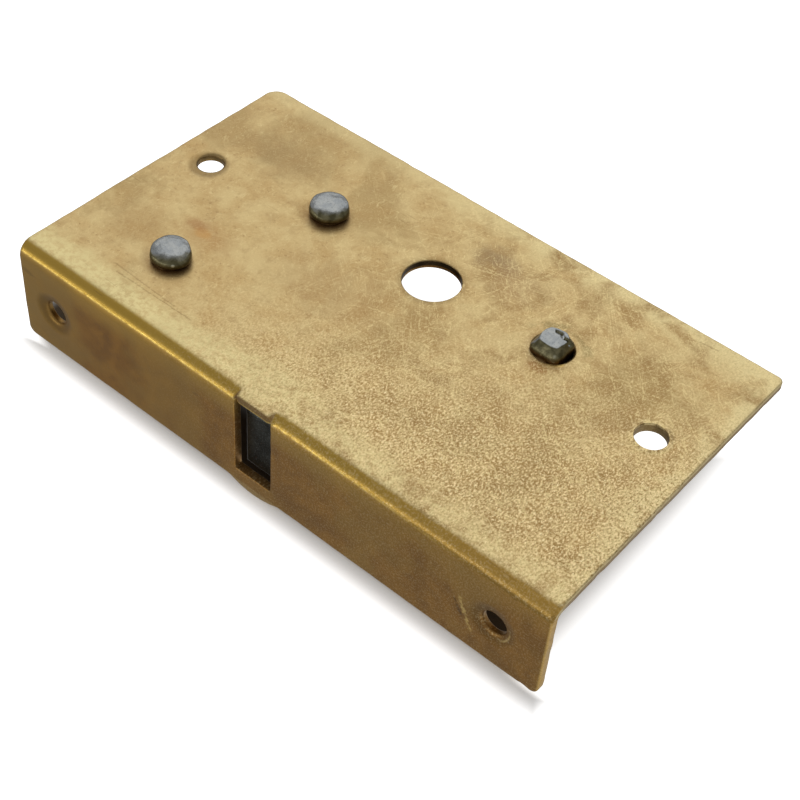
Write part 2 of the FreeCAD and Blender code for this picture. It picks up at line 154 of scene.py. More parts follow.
class Graph(Nodes):
    """A procedural material, built from sockets. Positions are in millimetres."""

    def __init__(self, name):
        self.material = bpy.data.materials.new(name)
        self.material.use_nodes = True
        super().__init__(self.material.node_tree)
        self.tree.nodes.clear()
        self.shader = self.add("BsdfPrincipled")
        self.add("OutputMaterial", {"Surface": self.shader.outputs[0]})
        coordinates = self.add("TexCoord").outputs["Object"]
        self.position = self.vector("SCALE", coordinates, scale=1 / MM)
        split = self.add("SeparateXYZ", {0: self.position})
        self.x, self.y, self.z = split.outputs
        self.normal = self.add("NewGeometry").outputs["Normal"]
        self.up = self.add("SeparateXYZ", {0: self.normal}).outputs[2]
        # These fray the rims of spots and strokes
        self.ragged = self.less(self.noise(0.35, 4), 0.5)
        self.frayed = self.less(self.noise(2.2, 3), 0.42)

    def vector(self, operation, a, b=(0, 0, 0), scale=1):
        node = self.add("VectorMath", {0: a, 1: b, 3: scale}, operation=operation)
        is_number = operation in ("LENGTH", "DISTANCE", "DOT_PRODUCT")
        return node.outputs["Value" if is_number else "Vector"]

    def math(self, operation, a, b=0):
        return self.add("Math", {0: a, 1: b}, operation=operation).outputs[0]

    def times(self, *factors):
        product = factors[0]
        for factor in factors[1:]:
            product = self.math("MULTIPLY", product, factor)
        return product

    def plus(self, a, b):
        return self.math("ADD", a, b)

    def less(self, a, b):
        return self.math("SUBTRACT", a, b)

    def greater(self, a, b):
        return self.math("MAXIMUM", a, b)

    def limit(self, value, low, high):
        return self.greater(self.math("MINIMUM", value, high), low)

    def fade(self, value, low, high):
        """0 at low, 1 at high, smooth between them."""
        feeds = {"Value": value, "From Min": low, "From Max": high}
        if low > high:
            feeds.update({"From Min": high, "From Max": low, "To Min": 1, "To Max": 0})
        return self.add("MapRange", feeds, interpolation_type="SMOOTHSTEP").outputs[0]

    def band(self, value, low, high, soft):
        """1 between low and high, fading to 0 on either side."""
        rise = self.fade(value, low - soft, low + soft)
        return self.times(rise, self.fade(value, high + soft, high - soft))

    def noise(self, scale, detail=3, rough=0.55, warp=0, at=None, stretch=None):
        """Noise with about that many cells a millimetre."""
        place = self.position if at is None else at
        if stretch is not None:
            place = self.vector("MULTIPLY", place, stretch)
        feeds = {"Vector": place, "Scale": scale, "Detail": detail, "Roughness": rough}
        feeds["Distortion"] = warp
        return self.add("TexNoise", feeds).outputs[0]

    def spot(self, centre, size, soft=0.5, wobble=0):
        """1 inside an ellipsoid, fading to 0 at its rim."""
        offset = self.vector("SUBTRACT", self.position, centre)
        distance = self.vector("LENGTH", self.vector("DIVIDE", offset, size))
        if wobble:
            distance = self.plus(distance, self.times(self.ragged, wobble))
        return self.fade(distance, 1, 1 - soft)

    def stroke(self, start, end, width):
        """1 along a straight scratch, fading to 0 at its sides and ends."""
        along = Vector(end) - Vector(start)
        offset = self.vector("SUBTRACT", self.position, start)
        share = self.times(self.vector("DOT_PRODUCT", offset, along), 1 / along.length_squared)
        nearest = self.vector("SCALE", along, scale=self.limit(share, 0, 1))
        distance = self.vector("DISTANCE", offset, nearest)
        distance = self.plus(distance, self.times(self.frayed, width * 2.5))
        return self.fade(distance, width, width * 0.3)

    def mix(self, factor, a, b):
        """Colour a, mixed towards colour b."""
        return self.add("Mix", {0: factor, 6: a, 7: b}, data_type="RGBA").outputs[2]

    def tint(self, shade, *factors):
        """Mixes the material's colour towards a shade by the product of the factors."""
        self.color = self.mix(self.times(*factors), self.color, shade)

    def blend(self, factor, a, b):
        """Number a, mixed towards number b."""
        return self.add("Mix", {0: factor, 2: a, 3: b}, data_type="FLOAT").outputs[0]

    def bump(self, height, strength, distance_mm, normal=None):
        feeds = {"Strength": strength, "Distance": distance_mm * MM, "Height": height}
        if normal is not None:
            feeds["Normal"] = normal
        return self.add("Bump", feeds).outputs[0]

    def finish(self, rough, normal, metallic=1):
        self.feed(self.shader, {"Base Color": self.color, "Roughness": rough})
        self.feed(self.shader, {"Normal": normal, "Metallic": metallic})
        return self.material


def rgb(red, green, blue):
    """A colour socket value from 0-255 screen values."""
    linear = [((value / 255 + 0.055) / 1.055) ** 2.4 for value in (red, green, blue)]
    return (*linear, 1)


# ---------------- materials

def plate_fields(g):
    """Noises and masks that several layers of the plate's finish share."""
    g.mottle = g.noise(0.16, 5, 0.62, 0.3)
    g.blotch = g.noise(0.42, 4, 0.6)
    g.on_top = g.fade(g.z, -0.3, -0.02)
    g.right_end = g.fade(g.x, 10, 44)
    # Height with a ragged line, which lies lower towards the right end
    ragged_z = g.plus(g.z, g.times(g.less(g.noise(0.25, 4), 0.5), 0.35))
    g.wander = g.plus(ragged_z, g.times(g.right_end, 0.55))
    # The pale strip on the face beside the bend is wider by the slot
    ragged_y = g.plus(g.y, g.times(g.less(g.blotch, 0.5), 3))
    near_slot = g.fade(g.math("ABSOLUTE", g.less(g.x, SLOT_X)), 16, 3)
    ragged_y = g.less(ragged_y, g.times(near_slot, 2.5))
    g.strip = g.times(g.fade(ragged_y, BEND_Y + 5.5, BEND_Y + 1.2), g.fade(g.z, -0.5, -0.05))
    # Grain is strongest at the front right, weak on the strip and the flange
    near_right = g.fade(g.less(g.times(g.x, 0.4), g.y), 6, 36)
    g.near_right = g.times(near_right, g.fade(g.x, -32, 4))
    g.plain = g.times(g.blend(g.strip, 1, 0.55), g.blend(g.on_top, 0.32, 1))


def slot_fields(g):
    """Masks of the slot's walls, where shade is painted, and of the cut edge of the lip over it."""
    in_slot = g.band(g.x, SLOT_X - SLOT_HALF, SLOT_X + SLOT_HALF, 0.08)
    in_slot = g.times(in_slot, g.fade(g.z, SLOT_BOTTOM - 0.15, SLOT_BOTTOM + 0.05))
    walls = g.times(in_slot, g.fade(g.y, FLANGE_FACE + 0.04, FLANGE_FACE + 0.3))
    walls = g.times(walls, g.fade(g.y, FLANGE_FACE + 3, FLANGE_FACE + 2))
    # Painted shade: the slot's walls below the face, which are painted dark
    g.throat = g.times(walls, g.fade(g.z, -SHEET - 0.1, -SHEET - 0.4))
    g.lip_edge = g.times(in_slot, g.fade(g.y, BEND_Y - 0.1, BEND_Y - 0.45), g.fade(g.z, -0.06, -0.25))


def bend_fields(g):
    """Masks of the bend's outer surface: its golden band, its rubbed line, and its right end, where shade
    is painted over the reflection.
    """
    outside = g.times(g.fade(g.y, BEND_Y + 0.1, BEND_Y - 0.2), g.fade(g.z, -3, -2.4))
    from_axis = g.vector("SUBTRACT", g.position, (0, BEND_Y, -BEND_RADIUS))
    radius = g.vector("LENGTH", g.vector("MULTIPLY", from_axis, (0, 1, 1)))
    outside = g.times(outside, g.fade(radius, BEND_RADIUS + 0.2, BEND_RADIUS + 0.08))
    outside = g.times(outside, g.fade(radius, BEND_RADIUS - 0.5, BEND_RADIUS - 0.3))
    g.gold = g.times(outside, g.fade(g.z, -0.02, -0.26), g.fade(g.wander, -1.5, -1.25))
    chatter = g.fade(g.noise(1.2, 3, 0.6, stretch=(1, 0.25, 0.25)), 0.25, 0.6)
    g.line = g.times(outside, g.band(g.wander, -1.5, -1.26, 0.1), g.less(1, g.right_end), chatter)
    # The bend's right end, darkened as painted shade
    g.dull = g.times(outside, g.band(g.z, -2, -0.9, 0.3), g.right_end)


def face_tan(g):
    """Mottled tan, lighter along the rear edge and towards the right end, pale beside the bend."""
    cloud = g.noise(0.045, 4, 0.6, 0.4)
    g.color = g.mix(g.fade(g.mottle, 0.3, 0.7), rgb(178, 149, 99), rgb(206, 183, 131))
    g.tint(rgb(160, 133, 86), g.fade(cloud, 0.5, 0.62), 0.65)
    g.tint(rgb(164, 135, 90), g.fade(g.blotch, 0.5, 0.7), 0.4)
    dust = g.fade(g.noise(1.3, 5, 0.7), 0.55, 0.68)
    g.tint(rgb(140, 110, 68), dust, g.fade(g.mottle, 0.62, 0.42), 0.6)
    wisps = g.noise(0.9, 4, 0.7, 1.6, stretch=(1, 0.6, 1))
    g.tint(rgb(222, 203, 150), g.fade(wisps, 0.57, 0.66), 0.35)
    rear = g.fade(g.plus(g.y, g.times(g.mottle, 6)), REAR_EDGE - 2, REAR_EDGE + 2)
    right = g.fade(g.plus(g.x, g.times(g.mottle, 9)), SIDE - 1, SIDE + 4)
    lighter_edges = g.limit(g.plus(rear, right), 0, 1)
    g.tint(rgb(218, 202, 150), lighter_edges, g.blend(g.fade(g.x, -20, 20), 0.4, 0.8))
    patchy = g.blend(g.fade(g.noise(1, 4, 0.65), 0.38, 0.58), 0.45, 1)
    patchy = g.times(patchy, g.blend(g.fade(g.x, 5, 40), 0.9, 0.7))
    g.tint(rgb(212, 197, 143), g.strip, patchy)


def face_stains(g):
    """A dark smudge behind the key hole, rust by the pivot, brown haze on the rest."""
    key_x, key_y = KEY_HOLE[:2]
    stains = [
        (key_x + 4.6, key_y + 10.2, 5.5, 4.5, rgb(134, 112, 82), 0.75),
        (key_x + 9.5, key_y + 8, 8, 6.5, rgb(158, 130, 90), 0.55),
        (PIVOT[0] - 0.6, PIVOT[1] + 7.6, 2.2, 1.5, rgb(200, 150, 80), 0.6),
        (PIVOT[0] - 2.6, PIVOT[1] + 8.6, 2.6, 1.6, rgb(150, 102, 62), 0.5),
        (PIVOT[0] + 0.5, PIVOT[1] + 7.4, 7.5, 4.5, rgb(164, 126, 80), 0.45),
        (key_x - 9.5, key_y - 12.5, 15, 9, rgb(160, 130, 86), 0.45),
        (-SIDE + 14.8, key_y + 6, 11, 7, rgb(150, 124, 82), 0.5),
        (SIDE - 13.8, key_y + 3, 13, 9, rgb(156, 130, 82), 0.55),
        (SIDE - 23.8, key_y - 20, 19, 12, rgb(152, 124, 78), 0.6),
        (-SIDE + 9.8, key_y - 21.5, 8, 7, rgb(160, 130, 84), 0.45),
    ]
    for x, y, wide, deep, shade, amount in stains:
        g.tint(shade, g.spot((x, y, 0), (wide, deep, 3), 0.8, 1.2), amount)


def stud_dirt_and_highlight(g):
    """Dirt round the three studs, and the square post's halo and residue, with a glint: a highlight painted
    on the rim of its hole.
    """
    for centre, reach, amount in ((ROUND_POST, 4.9, 0.5), (PIVOT, 4.7, 0.5), (SQUARE_POST, 4.6, 0.45)):
        place = (centre[0] - 0.25, centre[1] - 0.3, 0)
        g.tint(rgb(112, 78, 44), g.spot(place, (reach, reach, 3), 0.45, 0.25), amount)
    x, y = SQUARE_POST[0], SQUARE_POST[1]
    from_post = g.vector("SUBTRACT", g.position, SQUARE_POST)
    from_post = g.vector("LENGTH", g.vector("MULTIPLY", from_post, (1, 1, 0)))
    halo = g.times(g.band(from_post, 4.5, 6, 0.5), g.fade(g.blotch, 0.4, 0.5))
    g.tint(rgb(138, 120, 76), halo, g.fade(g.y, y + 0.5, y + 3), 0.7)
    residue = g.spot((x + 0.8, y - 4.3, 0), (2.8, 1.5, 2), 0.8, 0.6)
    g.tint(rgb(134, 92, 48), residue, 0.8)
    # Painted highlight: a bright crescent on the hole's rim in front of the square post
    glint = g.spot((x + 2.4, y - 2.4, 0), (1.7, 1.7, 1), 0.5, 0.4)
    g.tint(rgb(240, 206, 128), glint, g.fade(from_post, 3.95, 3.55))


def hole_dirt(g):
    """Dark rims round the face's holes, a dark key hole wall, a bright burr on the right hole."""
    left, right = screw_places("plate_screws")
    holes = [
        (KEY_HOLE[0], KEY_HOLE[1], KEY_RADIUS + 1.3),
        (left, PLATE_SCREWS_Y, PLATE_SCREW_RADIUS + 1.2),
        (right, PLATE_SCREWS_Y, PLATE_SCREW_RADIUS + 1.2),
    ]
    for x, y, reach in holes:
        g.tint(rgb(120, 96, 56), g.spot((x, y, 0), (reach, reach, 4), 0.3, 0.12), 0.65)
    reach = KEY_RADIUS + 0.25
    wall = g.spot((KEY_HOLE[0], KEY_HOLE[1], -1), (reach, reach, 40), 0.04)
    g.tint(rgb(58, 45, 26), wall, g.fade(g.z, -0.1, -0.3))
    burr = g.spot((right, PLATE_SCREWS_Y, 0.1), (3.6, 3.6, 0.5), 0.15, 0.1)
    g.tint(rgb(226, 204, 146), burr, g.fade(g.noise(0.9, 3), 0.4, 0.52))


def browned(g):
    """Everything that faces the front or lies under the face is browner: partly patina, partly painted
    shade on the front-facing flange.
    """
    face = g.color
    g.color = g.mix(g.fade(g.mottle, 0.35, 0.68), rgb(156, 112, 55), rgb(180, 133, 67))
    g.tint(rgb(146, 106, 60), g.fade(g.blotch, 0.5, 0.7), 0.5)
    golden = g.times(g.fade(g.z, -6.5, -1.8), g.fade(g.y, BEND_Y, BEND_Y - 1.5))
    g.tint(rgb(200, 160, 82), golden, g.blend(g.right_end, 0.95, 0.45))
    foot = g.plus(g.z, g.times(g.blotch, 0.3))
    foot = g.fade(foot, FLANGE_BOTTOM + 0.6, FLANGE_BOTTOM + 0.25)
    g.tint(rgb(214, 184, 128), foot, 0.6)
    green_end = g.fade(g.plus(g.x, g.times(g.mottle, 14)), -SIDE + 22, -SIDE + 4)
    g.tint(rgb(184, 152, 86), green_end, 0.8)
    g.tint(rgb(184, 146, 78), g.fade(g.noise(0.06, 3), 0.45, 0.6), 0.6)
    g.tint(rgb(214, 178, 104), g.fade(g.x, SIDE - 0.45, SIDE - 0.2), 0.8)
    g.color = g.mix(g.fade(g.wander, -0.9, -1.3), face, g.color)


def cut_edges(g):
    """Brown edges of the sheet at the right and the rear, and in the slot: its lip's edge brown, its walls
    painted dark as shade.
    """
    right = g.fade(g.x, SIDE - 0.3, SIDE - 0.12)
    edge = g.greater(right, g.fade(g.y, REAR_EDGE - 0.3, REAR_EDGE - 0.12))
    edge = g.times(edge, g.fade(g.z, -0.3, -0.6), g.fade(g.y, BEND_Y - 1, BEND_Y + 1))
    g.tint(rgb(146, 112, 56), edge, 0.85)
    # Painted shade on the slot's walls
    g.tint(rgb(60, 44, 24), g.throat, 0.85)
    g.tint(rgb(138, 102, 54), g.lip_edge, 0.8)


def rubbed_bend(g):
    """A deep golden band, a bright rubbed line at the left, and the bend at the right painted duller:
    painted shade over its reflection.
    """
    gold = g.mix(g.right_end, rgb(180, 146, 62), rgb(188, 148, 68))
    g.tint(gold, g.gold, 0.95)
    # Painted shade: darker brown on the bend's right end, damping its reflection
    g.tint(rgb(140, 110, 54), g.dull, 0.7)
    g.tint(rgb(232, 198, 106), g.line)


def flange_marks(g):
    """Dirt and painted shade in the countersinks, scuffs left of the right one and a bright burr on it."""
    for hole in screw_places("flange_screws"):
        # The countersink's dish, darkened: dirt and painted shade
        dish = g.spot((hole, FLANGE_FACE, FLANGE_SCREWS_Z), (4.4, 3, 4.2), 0.35, 0.2)
        g.tint(rgb(96, 72, 40), dish, 0.5)
    x, z = screw_places("flange_screws")[1], FLANGE_SCREWS_Z
    bright, dark = (0.55, rgb(232, 198, 120), 0.85), (0.4, rgb(84, 62, 38), 0.6)
    # Each scuff's start and end, as steps from the hole along x and z, and its kind
    scuffs = [
        (-5.4, 0.4, -4.6, -1.4, bright), (-4.8, -0.6, -3.9, -2.6, bright),
        (-5.6, 1.2, -5.3, 0.4, bright), (-4, -2.6, -3.3, -4, bright),
        (-6.4, 0.2, -5, -2.2, dark),
    ]
    for x0, z0, x1, z1, (width, shade, amount) in scuffs:
        mark = g.stroke((x + x0, FLANGE_FACE, z + z0), (x + x1, FLANGE_FACE, z + z1), width)
        g.tint(shade, mark, amount)
    from_hole = g.vector("DISTANCE", g.position, (x, FLANGE_FACE, z))
    burr = g.times(g.band(from_hole, 2.7, 2.95, 0.12), g.fade(g.x, x + 1, x + 2.2))
    burr = g.times(burr, g.fade(g.z, z + 1, z - 0.5), g.fade(g.frayed, -0.12, 0.05))
    g.tint(rgb(236, 206, 136), burr, 0.7)


def mottled(g, amount, rise, fall, light, dark):
    """Lighter where the amount is above 0, darker where it is below."""
    g.tint(light, g.greater(g.times(amount, rise), 0))
    g.tint(dark, g.greater(g.times(amount, -fall), 0))


def face_grain(g):
    """Slow drift, coarse grain, fine flecks and glints; the glints are painted highlights."""
    drift = g.less(g.noise(0.2, 4, 0.6, 0.4), 0.52)
    drift = g.times(drift, g.fade(g.x, -20, 12), g.on_top)
    mottled(g, drift, 2.6, 4.2, rgb(206, 186, 134), rgb(152, 122, 76))
    coarse = g.times(g.less(g.noise(0.8, 4, 0.65), 0.52), g.near_right, g.on_top)
    mottled(g, coarse, 3.5, 3.5, rgb(208, 184, 134), rgb(158, 130, 84))
    strength = g.blend(g.fade(g.x, -10, 25), 0.5, 1.6)
    strength = g.times(g.blend(g.near_right, strength, 6.4), g.plain)
    flecks = g.noise(3.4, 2, 0.7, stretch=(1, 0.65, 1))
    flecks = g.limit(g.times(g.less(flecks, 0.5), strength), -1, 1)
    mottled(g, flecks, 1, 1, rgb(232, 208, 158), rgb(148, 120, 72))
    # Painted highlights: bright glinting specks
    glints = g.fade(g.noise(3.3, 2, 0.6, stretch=(1, 0.5, 1)), 0.61, 0.69)
    g.tint(rgb(240, 224, 176), glints, g.blend(g.near_right, 0.05, 0.8), g.plain)


def face_wires(g):
    """Wiry scratches, all ways across the face."""
    wires = 0
    for turn, size in ((20, 0.5), (75, 0.6), (-38, 0.45), (128, 0.55)):
        cos, sin = math.cos(math.radians(turn)), math.sin(math.radians(turn))
        along = g.vector("DOT_PRODUCT", g.position, (cos, sin, 0))
        across = g.vector("DOT_PRODUCT", g.position, (-sin, cos, 0))
        turned = g.add("CombineXYZ", {0: along, 1: across, 2: turn}).outputs[0]
        wavy = g.noise(size, 2, 0.5, 0.3, at=turned, stretch=(0.12, 1, 1))
        wires = g.greater(wires, g.fade(g.math("ABSOLUTE", g.less(wavy, 0.5)), 0.011, 0.003))
    wires = g.times(wires, g.fade(g.frayed, -0.02, 0.14), g.on_top)
    g.tint(rgb(228, 208, 152), wires, g.blend(g.fade(g.x, -30, 15), 0.12, 0.5))


def handling_scratches(g):
    """Fine dark scratches along the plate, and three long scores."""
    scratches = g.fade(g.noise(0.55, 2, 0.5, stretch=(0.35, 6, 1), warp=0.15), 0.66, 0.72)
    g.tint(rgb(128, 100, 62), scratches, g.fade(g.noise(0.08, 2), 0.5, 0.62), 0.35)
    x, y = PIVOT[0] - 5, PIVOT[1] - 6.3
    scores = [
        ((x, y, 0), (x + 13, y - 0.5, 0)),
        ((x + 1.5, y - 1.1, 0), (x + 17, y - 0.9, 0)),
        ((SIDE - 13.5, REAR_EDGE - 2.2, 0), (SIDE - 10.5, REAR_EDGE - 1.9, 0)),
    ]
    for start, end in scores:
        g.tint(rgb(128, 100, 60), g.stroke(start, end, 0.24), 0.4)


def plate_brass():
    """Aged satin sheet: mottled tan face, pale strip and rubbed line at the bend, brown flange."""
    g = Graph("plate_brass_aged")
    for fields in (plate_fields, slot_fields, bend_fields):
        fields(g)
    for layer in (face_tan, face_stains, stud_dirt_and_highlight, hole_dirt, browned, cut_edges, rubbed_bend,
                  flange_marks, face_grain, face_wires, handling_scratches):
        layer(g)
    rough = g.blend(g.fade(g.mottle, 0.3, 0.7), 0.34, 0.46)
    for mask, value in ((g.throat, 0.75), (g.line, 0.27), (g.dull, 0.55), (g.times(g.gold, 0.8), 0.3)):
        rough = g.blend(mask, rough, value)
    grain = g.times(g.noise(1.9, 3, 0.65), g.blend(g.near_right, 0.2, 1), g.plain)
    relief = g.bump(grain, 0.55, 0.1)
    relief = g.bump(g.noise(4.5, 2, 0.6), 0.18, 0.03, relief)
    relief = g.bump(g.mottle, 0.25, 0.25, relief)
    return g.finish(rough, relief, 0.95)


def stock_brass(name, base, dark, grain_axis):
    """Flat-rolled or stamped brass of the works, with rolling lines along one axis."""
    g = Graph(name)
    tarnish = g.noise(0.22, 5, 0.62, 0.5)
    spots = g.noise(1.1, 3, 0.6)
    g.color = g.mix(g.fade(tarnish, 0.35, 0.68), base, dark)
    g.tint(rgb(120, 88, 46), g.fade(spots, 0.62, 0.72), 0.45)
    stretch = [5, 5, 5]
    stretch[grain_axis] = 0.18
    lines = g.noise(0.9, 3, 0.6, stretch=tuple(stretch))
    g.tint(rgb(226, 204, 150), g.fade(lines, 0.55, 0.7), 0.25)
    rough = g.blend(g.fade(tarnish, 0.3, 0.7), 0.26, 0.46)
    relief = g.bump(lines, 0.35, 0.03)
    relief = g.bump(spots, 0.2, 0.04, relief)
    return g.finish(rough, relief)


def stud_steel():
    """Hammered blue-grey heads, dark brown down their sides, rust at the foot; the dark sides are partly
    tarnish and partly painted shade, and the bright spots are painted highlights.
    """
    g = Graph("stud_steel_hammered")
    patch = g.noise(0.7, 4, 0.6, 0.4)
    speck = g.noise(3.2, 3, 0.6)
    g.color = g.mix(g.fade(patch, 0.32, 0.66), rgb(138, 142, 144), rgb(157, 159, 157))
    g.tint(rgb(104, 106, 104), g.fade(speck, 0.56, 0.68), 0.5)
    face = g.color
    g.color = g.mix(g.fade(patch, 0.35, 0.65), rgb(84, 80, 58), rgb(122, 116, 88))
    g.tint(rgb(92, 64, 34), g.fade(g.z, 0.75, 0.2), 0.8)
    # Painted shade as well as tarnish: steep slopes take the dark sides' colour, and the blue-grey reaches
    # less far down towards the front right
    shaded_front_right = g.fade(g.vector("DOT_PRODUCT", g.normal, (0.64, -0.76, 0)), -0.05, 0.3)
    steep = g.plus(g.up, g.times(g.less(patch, 0.5), 0.25))
    top = g.fade(g.less(steep, g.times(shaded_front_right, 0.32)), 0.42, 0.66)
    top = g.times(top, g.fade(g.z, 0.5, 0.9))
    g.tint(face, top)
    # Painted highlights: bright spots, as offset from the stud, and size
    highlight_spots = [
        (PIVOT, (2.5, -1.7, 1.05), (0.42, 0.42, 0.35)),
        (ROUND_POST, (1.6, -2.5, 0.85), (0.35, 0.35, 0.35)),
        (SQUARE_POST, (1.75, -1.85, 0.95), (0.4, 0.4, 0.55)),
        (SQUARE_POST, (1.8, -2, 0.3), (0.45, 0.45, 0.3)),
    ]
    for stud, (right, rearward, height), size in highlight_spots:
        place = (stud[0] + right, stud[1] + rearward, height)
        g.tint(rgb(216, 214, 190), g.spot(place, size, 0.8, 0.3), 0.8)
    rough = g.blend(top, 0.36, 0.3)
    rough = g.plus(rough, g.times(g.less(speck, 0.5), 0.25))
    relief = g.bump(patch, 0.5, 0.2)
    relief = g.bump(speck, 0.3, 0.05, relief)
    return g.finish(rough, relief)


def works_steel(name, base, dark, roughness, stretch, rust=0.3):
    """Machined steel with tool marks, grime and a little rust."""
    g = Graph(name)
    grime = g.noise(0.3, 5, 0.62, 0.5)
    marks = g.noise(1.2, 3, 0.6, stretch=stretch)
    speck = g.noise(2.4, 3, 0.6)
    g.color = g.mix(g.fade(grime, 0.35, 0.68), base, dark)
    g.tint(rgb(176, 180, 184), g.fade(marks, 0.52, 0.72), 0.3)
    g.tint(rgb(112, 66, 36), g.fade(speck, 0.6, 0.72), g.fade(grime, 0.45, 0.6), rust)
    rough = g.blend(g.fade(grime, 0.3, 0.7), *roughness)
    relief = g.bump(marks, 0.35, 0.04)
    relief = g.bump(speck, 0.15, 0.03, relief)
    return g.finish(rough, relief)


# One finish for each material slot
FINISHES = {
    "plate_brass": plate_brass(),
    "cap_brass": stock_brass("cap_brass_satin", rgb(204, 174, 112), rgb(166, 132, 76), 0),
    "lever_brass": stock_brass("lever_brass_stamped", rgb(214, 184, 118), rgb(178, 142, 80), 1),
    "post_steel": stud_steel(),
    "bolt_steel": works_steel(
        "bolt_steel_dark", rgb(72, 74, 68), rgb(48, 48, 42), (0.34, 0.48), (4, 0.3, 4)),
    "rivet_steel": works_steel(
        "rivet_steel_filed", rgb(150, 150, 152), rgb(108, 106, 102), (0.28, 0.42), (0.4, 4, 1)),
    "spacer_steel": works_steel(
        "spacer_steel_turned", rgb(150, 152, 156), rgb(104, 102, 98), (0.26, 0.4), (0.4, 0.4, 6)),
    "screw_steel": works_steel(
        "screw_steel_turned", rgb(158, 158, 160), rgb(112, 108, 102), (0.26, 0.4), (1.5, 1.5, 5)),
    "spring_steel": works_steel(
        "spring_steel_blued", rgb(84, 96, 132), rgb(56, 58, 74), (0.22, 0.34), (0.4, 0.4, 5), 0.15),
}


# ---------------- meshes

def show(name, data):
    """A new object in the scene."""
    made = bpy.data.objects.new(name, data)
    bpy.context.scene.collection.objects.link(made)
    return made


def put_in(name, mesh, body, slot, node):
    """A smooth piece in its slot's finish, riding on a body in place of a CAD node."""
    mesh.materials.clear()
    mesh.materials.append(FINISHES[slot])
    for polygon in mesh.polygons:
        polygon.use_smooth = True
        polygon.material_index = 0
    piece = show(name, mesh)
    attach(piece, body)
    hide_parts(node)


def make_piece(name, vertices, faces, slot, node):
    """A closed mesh from millimetre vertices, on the lock's body in place of a CAD node."""
    mesh = bpy.data.meshes.new(name)
    mesh.from_pydata((np.asarray(vertices) * MM).tolist(), [], faces)
    work = bmesh.new()
    work.from_mesh(mesh)
    bmesh.ops.recalc_face_normals(work, faces=work.faces)
    work.to_mesh(mesh)
    work.free()
    put_in(name, mesh, BODY, slot, node)


def noise_at(x, y, z):
    return noise.noise(Vector((x, y, z)))


def noise_round(angle, size, height):
    """Noise that goes round a post and meets itself."""
    return noise_at(math.cos(angle) * size, math.sin(angle) * size, height)


def ease(value, low, high):
    """0 at low, 1 at high, smooth between them."""
    t = np.clip((value - low) / (high - low), 0, 1)
    return t * t * (3 - 2 * t)


# The sheet is drawn flat, as x and s, and folded. s is 0 where the bend starts and grows to the
# front. ARC is the bend's length on the flat, and the radii are those of an outline's corners.
ARC = 3.4
CORNER_RADII = (2.6, 1.2, 1.3, 1.3)
SLOT_RADII = (0.35, 0.35, 0.4, 0.4)
S_REAR = BEND_Y - REAR_EDGE
S_FRONT = ARC - FLANGE_BOTTOM - BEND_RADIUS


def on_face(y):
    return BEND_Y - y


def flat(place):
    """A place on the face, as x and s."""
    return place[0], on_face(place[1])


def on_flange(z):
    return ARC - BEND_RADIUS - z


def fold(x, s, depth):
    """Positions of sheet points that lie depth under the outer surface."""
    turn = np.clip(s / ARC, 0, 1) * math.pi / 2
    radius = BEND_RADIUS - depth
    y = BEND_Y - radius * np.sin(turn) - np.minimum(s, 0)
    z = -BEND_RADIUS + radius * np.cos(turn) - np.maximum(s - ARC, 0)
    from_slot = np.abs(x - SLOT_X)
    # The lip over the slot stays flat
    lip = (1 - ease(from_slot, SLOT_HALF - 0.55, SLOT_HALF + 0.4)) * (1 - ease(s, LIP_LENGTH, ARC))
    lip = lip * (s > 0)
    y = y + lip * (BEND_Y - s - y)
    z = z + lip * (-depth - z)
    return np.stack([x, y, z], axis=1)


def arc_points(centre, radius, start, end, step):
    count = max(3, math.ceil(abs(end - start) * radius / step))
    angles = np.linspace(start, end, count + 1)
    return [(centre[0] + radius * math.cos(a), centre[1] + radius * math.sin(a)) for a in angles]


def densify(corners, step):
    """Points along a closed outline of corner points, no further apart than step."""
    points = []
    for (x0, s0), (x1, s1) in zip(corners, corners[1:] + corners[:1]):
        length = math.hypot(x1 - x0, s1 - s0)
        if length < 1e-6:
            continue
        count = max(1, math.ceil(length / step))
        points += [(x0 + (x1 - x0) * i / count, s0 + (s1 - s0) * i / count) for i in range(count)]
    return np.array(points)


def rounded_box(left, right, low, high, radii, step):
    """A closed outline, counter-clockwise in x and s, with its corners' radii in the same order.

    The first corner is the one at left and low.
    """
    centres = [
        (left + radii[0], low + radii[0]), (right - radii[1], low + radii[1]),
        (right - radii[2], high - radii[2]), (left + radii[3], high - radii[3]),
    ]
    corners = []
    for index, (centre, radius) in enumerate(zip(centres, radii)):
        start = math.pi + index * math.pi / 2
        corners += arc_points(centre, radius, start, start + math.pi / 2, 0.3)
    return densify(corners, step)


def outline_normals(points):
    """Unit normals that point to the right of the outline's direction."""
    tangent = np.roll(points, -1, axis=0) - np.roll(points, 1, axis=0)
    tangent /= np.linalg.norm(tangent, axis=1)[:, None]
    return np.stack([tangent[:, 1], -tangent[:, 0]], axis=1)


def ragged(points, amount, seed):
    """How far each point of a cut edge lies back, from 0 to amount."""
    heights = [noise_at(x * 0.6, s * 0.6, seed) for x, s in points]
    return amount * (0.5 + 0.5 * np.clip(np.array(heights) * 1.6, -1, 1))


def round_over(radius, steps=3):
    """Rows of (inset into the sheet, depth) for an edge rounded at both faces."""
    angles = np.linspace(0, math.pi / 2, steps + 1)
    top = [(radius * (1 - math.sin(a)), radius * (1 - math.cos(a))) for a in angles]
    bottom = [(inset, SHEET - depth) for inset, depth in reversed(top)]
    return top + bottom


